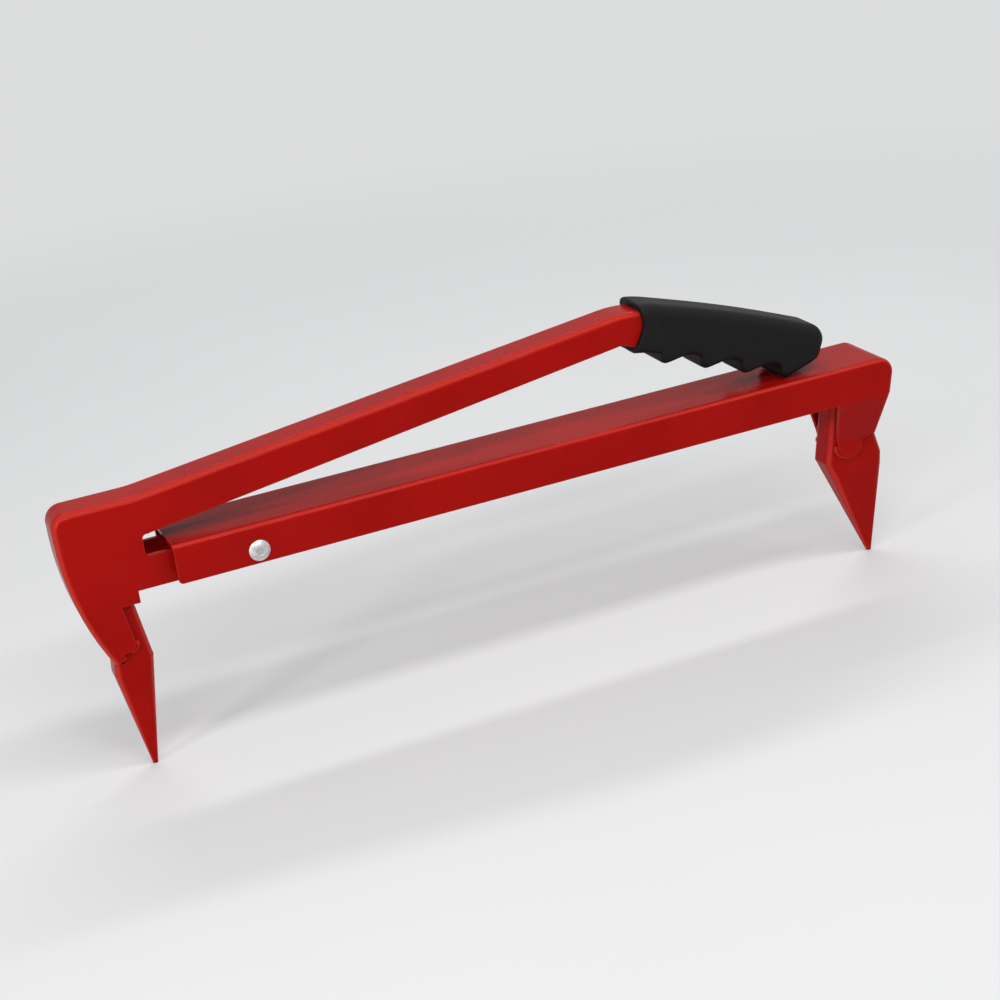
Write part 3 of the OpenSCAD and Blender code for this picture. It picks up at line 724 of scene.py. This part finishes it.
def hand_grip(settings):
    """The moulded grip: a rounded section drawn along the lever's end, ridge by ridge."""
    pitch = settings.finger_pitch / MM
    length = settings.length / MM
    half = settings.width / 2
    top = settings.cover
    bend, tangent, lean = BEND_RADIUS, TANGENT, math.radians(12.0)
    middle = (top - 19.5 * MM) / 2
    tall = (top + 19.5 * MM) / 2

    # The section where the straight part starts, as a plane with its corners rounded
    bpy.ops.mesh.primitive_plane_add(
        size=2.0, location=(tangent, 0.0, middle), rotation=(0, math.pi / 2, 0))
    obj = bpy.context.object
    obj.name = "hand_grip"
    obj.scale = (tall, half, 1.0)
    bpy.ops.object.transform_apply(location=True, rotation=True, scale=True)
    open_mesh(obj)
    pick_corners(obj, lambda c: c.z > 0.0)
    bpy.ops.mesh.bevel(offset=6.6 * MM, segments=7, affect="VERTICES", clamp_overlap=False)
    pick_corners(obj, lambda c: c.z < middle - tall + 0.1 * MM)
    bpy.ops.mesh.bevel(offset=4.0 * MM, segments=5, affect="VERTICES", clamp_overlap=False)
    pick_edges(obj, lambda a, b: abs(a.z - b.z) > 6.0 * MM)
    bpy.ops.mesh.subdivide(number_cuts=5)
    pick_edges(obj, lambda a, b: abs(a.y - b.y) > 6.0 * MM)
    bpy.ops.mesh.subdivide(number_cuts=6)

    # Back to the mouth, then drawn round the bend to where the straight part starts
    axis = (tangent, 0.0, -bend)
    pick_corners(obj, lambda c: c.z < middle - tall + 4.05 * MM)
    shift((0.0, 0.0, -1.5 * MM))
    bpy.ops.mesh.select_all(action="SELECT")
    swing(lean, axis)
    for _ in range(4):
        draw_out((0.0, 0.0, 0.0))
        swing(-lean / 4, axis)

    # Along the straight part: the lower rows follow the finger ridges, the upper ones the crown
    stops = [15.5, 17.0, 18.2]
    for k in range(RIDGES):
        ridge = RIDGE_FIRST + k * pitch
        if k:
            stops += [ridge + step for step in (-7.5, -6.0, -4.6, -3.6)]
        stops += [ridge + step for step in (-2.99, -2.7, -1.6, 0.0, 1.5, 4.5, 9.0)]
        if k < RIDGES - 1:
            stops += [ridge + 12.0]
    stops += [length - 9.4]
    here, low, high = tangent, COLLAR * MM, top
    for stop in stops:
        s = stop * MM
        draw_out((s - here, 0.0, 0.0))
        bottom = underside(stop, pitch) * MM
        bow = settings.crown * math.sin(math.pi * min(1.0, max(0.0, (stop - 14.0) / 92.0)))
        if abs(bottom - low) > 1e-7:
            pick_corners(obj, lambda c: abs(c.x - s) < 1e-6 and c.z < -15.2 * MM)
            shift((0.0, 0.0, bottom - low))
        if abs(top + bow - high) > 1e-7:
            pick_corners(obj, lambda c: abs(c.x - s) < 1e-6 and c.z > -3.2 * MM)
            shift((0.0, 0.0, top + bow - high))
        pick_corners(obj, lambda c: abs(c.x - s) < 1e-6)
        here, low, high = s, bottom, top + bow

    # The nose, drawn in ring by ring to a round end
    wide = half
    for left in (8.4, 7.3, 6.2, 5.1, 4.1, 3.2, 2.4, 1.7, 1.1, 0.6, 0.25, 0.08):
        s = (length - left) * MM
        draw_out((s - here, 0.0, 0.0))
        drop = 9.5 - math.sqrt(9.5 ** 2 - (9.5 - left) ** 2)
        draw_in = 8.0 - math.sqrt(8.0 ** 2 - max(0.0, 8.0 - left) ** 2)
        new_high = top + settings.crown * 0.12 - drop * MM
        new_low = underside(length - left, pitch) * MM
        new_wide = half - draw_in * MM
        tall_share = (new_high - new_low) / (high - low)
        resize((1.0, new_wide / wide, tall_share), (s, 0.0, (high + low) / 2))
        shift((0.0, 0.0, (new_high + new_low - high - low) / 2))
        here, low, high, wide = s, new_low, new_high, new_wide

    # The mouth: scooped across, with a rim and a narrow groove round the steel
    def radius_of(c):
        return math.hypot(c.x - tangent, c.z + bend)

    def angle_of(c):
        return math.atan2(tangent - c.x, c.z + bend)

    scoop = ((60.0 + 4.0, 0.25), (52.9, -1.6), (46.0, 0.2), (40.8, 2.9), (38.0, 3.4))
    back = (-math.cos(lean), 0.0, -math.sin(lean))
    mesh = bmesh.from_edit_mesh(obj.data)
    rows = sorted({
        round(radius_of(v.co) / MM, 2) for v in mesh.verts if abs(angle_of(v.co) - lean) < 1e-4})
    for ring_angle, share in ((lean, 1.0), (lean * 0.75, 0.55), (lean * 0.5, 0.2)):
        for row in rows:
            amount = scoop_at(row, scoop) * share * MM
            pick_corners(obj, lambda c: abs(angle_of(c) - ring_angle) < 2e-3
                         and abs(radius_of(c) / MM - row) < 0.02)
            shift(tuple(amount * part for part in back))
    pick_faces(obj, lambda c, n: angle_of(c) > lean * 0.9 and n.x < -0.7)
    bpy.ops.mesh.inset(thickness=0.7 * MM)
    pick_faces(obj, lambda c, n: angle_of(c) > lean * 0.9 and n.x < -0.9 and abs(c.y) < 1 * MM)
    bpy.ops.mesh.inset(thickness=2.1 * MM)
    bpy.ops.mesh.inset(thickness=0.12 * MM)
    draw_out((0.9 * MM, 0.0, 0.2 * MM))
    close_mesh()

    # Onto the lever's end
    obj.rotation_euler = (0.0, TANG_SLOPE, 0.0)
    obj.location = BEND_PLACE
    finish_piece(obj, 1, math.radians(60))
    return obj


def scoop_at(radius, points):
    """How far the mouth stands back at a radius from the bend's centre, between given points."""
    if radius >= points[0][0]:
        return points[0][1]
    for (r0, a0), (r1, a1) in zip(points, points[1:]):
        if r1 <= radius <= r0:
            share = (r0 - radius) / (r0 - r1)
            share = share * share * (3 - 2 * share)
            return a0 + (a1 - a0) * share
    return points[-1][1]


# Operators


class TONGS_OT_enamel(bpy.types.Operator):
    """Paint the bar, the lever and the claws with stoved red enamel"""

    bl_idname = "tongs.enamel"
    bl_label = "Enamel"

    def execute(self, context):
        settings = context.scene.tongs_enamel
        rivet = [(PIVOT_X / MM, PIVOT_Z / MM, 5.6)]
        for name, tips, zones in (
                ("bar", False, rivet), ("lever", False, []),
                ("bar_claw", True, []), ("lever_claw", True, [])):
            dress(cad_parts[name], red_enamel(f"enamel_{name}", settings, tips, zones))
        return {"FINISHED"}


class TONGS_OT_zinc(bpy.types.Operator):
    """Plate the rivet, the spacers and the tube with bright zinc"""

    bl_idname = "tongs.zinc"
    bl_label = "Zinc"

    def execute(self, context):
        settings = context.scene.tongs_zinc
        for name, dimple in (
                ("pivot_rivet", 1.0), ("spacer_front", 0.0), ("spacer_rear", 0.0),
                ("centre_tube", 0.0)):
            dress(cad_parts[name],
                  bright_zinc(f"zinc_{name}", settings, PIVOT_X / MM, PIVOT_Z / MM, dimple))
        return {"FINISHED"}


class TONGS_OT_welds(bpy.types.Operator):
    """Lay the weld beads round the tongues that hold the claws"""

    bl_idname = "tongs.welds"
    bl_label = "Weld beads"

    def execute(self, context):
        settings = context.scene.tongs_weld
        for node, body, centre, radius, start, end in TONGUES:
            front = weld_bead(f"{node}_front", settings, centre, radius, CLAW_SIDE, start, end)
            rear = mirrored(front, f"{node}_rear")
            paint = red_enamel(f"enamel_{node}", context.scene.tongs_enamel, False, [])
            for bead in (front, rear):
                dress(bead, paint)
                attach(bead, body)
                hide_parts(node)
        return {"FINISHED"}


class TONGS_OT_grip(bpy.types.Operator):
    """Mould the black hand grip onto the end of the lever"""

    bl_idname = "tongs.grip"
    bl_label = "Hand grip"

    def execute(self, context):
        settings = context.scene.tongs_grip
        grip = hand_grip(settings)
        dress(grip, moulded_black("moulded_black", settings))
        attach(grip, "lever_body")
        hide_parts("grip")
        return {"FINISHED"}


class TONGS_OT_studio(bpy.types.Operator):
    """Set the pale floor, the soft lamps and the camera"""

    bl_idname = "tongs.studio"
    bl_label = "Studio"

    def execute(self, context):
        settings = context.scene.tongs_studio
        build_floor(settings)
        build_lamps(settings)
        build_camera(settings)
        context.scene.view_settings.view_transform = "Standard"
        return {"FINISHED"}


def build_floor(settings):
    """A wide round floor with a rolled rim."""
    bpy.ops.object.select_all(action="DESELECT")
    bpy.ops.mesh.primitive_circle_add(vertices=96, radius=6.0, fill_type="NGON")
    floor = bpy.context.object
    floor.name = "floor"
    open_mesh(floor)
    bpy.ops.mesh.select_all(action="SELECT")
    bpy.ops.mesh.inset(thickness=0.5)
    pick_corners(floor, lambda c: math.hypot(c.x, c.y) > 5.9)
    shift((0.0, 0.0, -0.3))
    bpy.ops.object.mode_set(mode="OBJECT")
    bpy.ops.object.shade_smooth_by_angle(angle=math.radians(40))
    dress(floor, pale_floor("pale_floor", settings))


def build_lamps(settings):
    """Soft boxes in front, above, behind and at the left, and a pale room."""
    world = bpy.data.worlds.new("room")
    room = Nodes(world)
    colour = room.add("ShaderNodeMix", {"data_type": "RGBA"}, {
        0: room.seen(), 6: solid(settings.room_colour), 7: solid(settings.backdrop_colour)})
    air = room.add("ShaderNodeBackground", {}, {"Color": colour.outputs[2]})
    room.add("ShaderNodeOutputWorld", {}, {"Surface": air.outputs[0]})
    bpy.context.scene.world = world
    aim_z = 0.10
    for name, place, width, height, power in (
            ("soft_box_front", (-0.40, -1.05, 1.05), 1.5, 0.12, 8.0),
            ("soft_box_high", (0.45, -0.50, 1.30), 1.7, 0.20, 7.0),
            ("soft_box_back", (0.25, 0.90, 1.20), 1.4, 0.10, 6.0),
            ("soft_box_left", (-1.25, -0.60, 0.42), 0.12, 0.9, 4.5)):
        lamp = bpy.data.lights.new(name, "AREA")
        lamp.shape = "RECTANGLE"
        lamp.size = width
        lamp.size_y = height
        lamp.energy = power
        holder = bpy.data.objects.new(name, lamp)
        bpy.context.scene.collection.objects.link(holder)
        holder.location = place
        # A long box stays parallel to the bar
        aim_x = place[0] if width > height else 0.0
        holder.rotation_euler = look_along((aim_x - place[0], -place[1], aim_z - place[2]))


def look_along(towards):
    """Angles that turn an object's own -Z along a direction, with its Y up."""
    return Vector(towards).to_track_quat("-Z", "Y").to_euler()


def build_camera(settings):
    """The camera, at the picture's own angle."""
    low, high = (list(corner) for corner in CAD_BOX)
    middle = [(low[k] + high[k]) / 2 for k in range(3)]
    a, e, reach = settings.azimuth, settings.elevation, settings.distance
    place = (
        middle[0] + reach * math.sin(a) * math.cos(e),
        middle[1] - reach * math.cos(a) * math.cos(e),
        middle[2] + reach * math.sin(e))
    data = bpy.data.cameras.new("camera")
    data.lens = settings.lens
    data.sensor_width = 36.0
    data.clip_start, data.clip_end = 0.05, 50.0
    camera = bpy.data.objects.new("camera", data)
    bpy.context.scene.collection.objects.link(camera)
    camera.location = place
    camera.rotation_euler = look_along([middle[k] - place[k] for k in range(3)])
    camera.rotation_mode = "QUATERNION"
    camera.rotation_quaternion = camera.rotation_quaternion @ roll_turn(settings.roll)
    bpy.context.scene.camera = camera


def roll_turn(angle):
    """A turn about the camera's own view."""
    return Quaternion((0.0, 0.0, 1.0), angle)


class TONGS_PT_panel(bpy.types.Panel):
    """Lists the steps that finish the tongs"""

    bl_idname = "TONGS_PT_panel"
    bl_label = "Brick Tongs"
    bl_space_type = "VIEW_3D"
    bl_region_type = "UI"
    bl_category = "Brick Tongs"

    def draw(self, context):
        scene = context.scene
        for settings, operator in (
                (scene.tongs_enamel, "tongs.enamel"), (scene.tongs_zinc, "tongs.zinc"),
                (scene.tongs_weld, "tongs.welds"), (scene.tongs_grip, "tongs.grip"),
                (scene.tongs_studio, "tongs.studio")):
            box = self.layout.box()
            box.operator(operator)
            for name in settings.bl_rna.properties.keys():
                if name not in ("rna_type", "name"):
                    box.prop(settings, name)


SETTINGS = (
    ("tongs_enamel", EnamelSettings),
    ("tongs_zinc", ZincSettings),
    ("tongs_weld", WeldSettings),
    ("tongs_grip", GripSettings),
    ("tongs_studio", StudioSettings),
)
OPERATORS = (TONGS_OT_enamel, TONGS_OT_zinc, TONGS_OT_welds, TONGS_OT_grip, TONGS_OT_studio)


def register():
    for name, group in SETTINGS:
        bpy.utils.register_class(group)
        setattr(bpy.types.Scene, name, bpy.props.PointerProperty(type=group))
    for operator in OPERATORS:
        bpy.utils.register_class(operator)
    bpy.utils.register_class(TONGS_PT_panel)


def unregister():
    bpy.utils.unregister_class(TONGS_PT_panel)
    for operator in reversed(OPERATORS):
        bpy.utils.unregister_class(operator)
    for name, group in reversed(SETTINGS):
        delattr(bpy.types.Scene, name)
        bpy.utils.unregister_class(group)


def main():
    """Builds everything in order."""
    register()
    bpy.ops.object.select_all(action="DESELECT")
    bpy.ops.tongs.enamel()
    bpy.ops.tongs.zinc()
    bpy.ops.tongs.welds()
    bpy.ops.tongs.grip()
    bpy.ops.tongs.studio()


if __name__ == "__main__":
    main()
